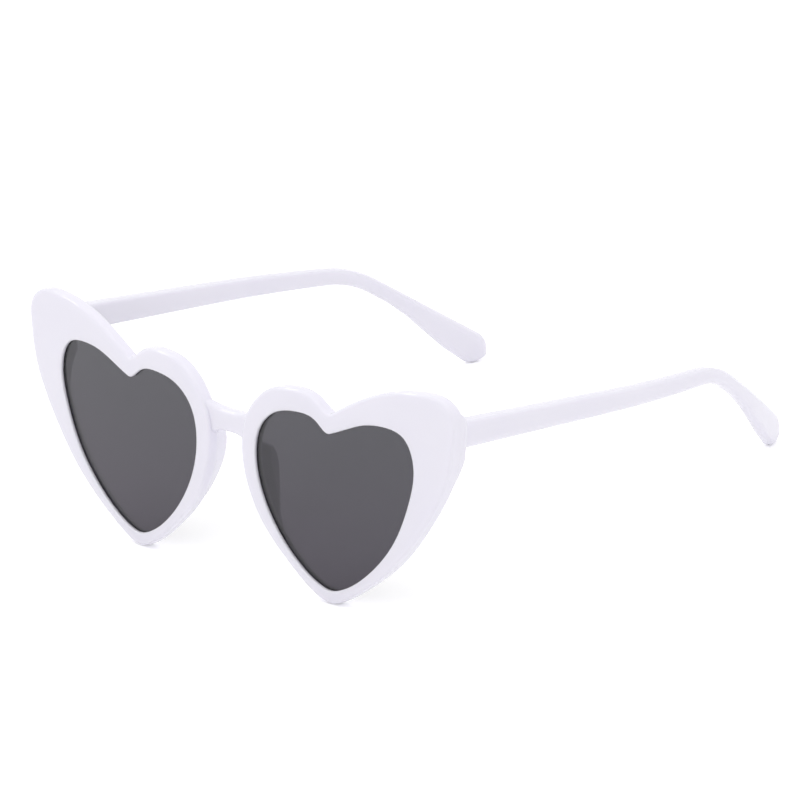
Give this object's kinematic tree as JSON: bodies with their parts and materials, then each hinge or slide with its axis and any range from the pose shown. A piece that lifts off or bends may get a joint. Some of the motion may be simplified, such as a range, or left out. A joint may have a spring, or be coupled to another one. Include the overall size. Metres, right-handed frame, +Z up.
{
  "type": "heart-shaped sunglasses",
  "caption": "Plastic sunglasses with heart-shaped cat-eye rims, curved tinted lenses, a set-back bridge, moulded nose pads and temples that fold on metal hinges.",
  "frame": {"origin": "on the ground under the middle of the open glasses: the bottom centre of their bounding box", "axes": "+X to the wearer's left, across the front; +Y from the front towards the temple tips; +Z up. The front stands on the tips of its two hearts and leans back with its temples resting on their own tips"},
  "size_m": [0.1502, 0.1376, 0.0577],
  "materials": {
    "white_plastic": "gloss",
    "tinted_plastic": "polished tinted",
    "hinge_metal": "satin",
    "screw_metal": "satin"
  },
  "bodies": {
    "front": {"frame_front": "white_plastic", "lens_left": "tinted_plastic", "lens_right": "tinted_plastic", "front_hinge_left": "hinge_metal", "front_hinge_right": "hinge_metal", "hinge_screw_left": "screw_metal", "hinge_screw_right": "screw_metal"},
    "left_temple": {"temple_left": "white_plastic", "temple_hinge_left": "hinge_metal"},
    "right_temple": {"temple_right": "white_plastic", "temple_hinge_right": "hinge_metal"}
  },
  "joints": [
    {"name": "left_temple_fold", "type": "hinge", "parent": "front", "child": "left_temple", "pos_m": [0.0669, -0.0542, 0.04739], "axis": [0, 0.0951, 0.9955], "range_deg": [0, 83]},
    {"name": "right_temple_fold", "type": "hinge", "parent": "front", "child": "right_temple", "pos_m": [-0.0669, -0.0542, 0.04739], "axis": [0, -0.0951, -0.9955], "range_deg": [0, 77]}
  ]
}
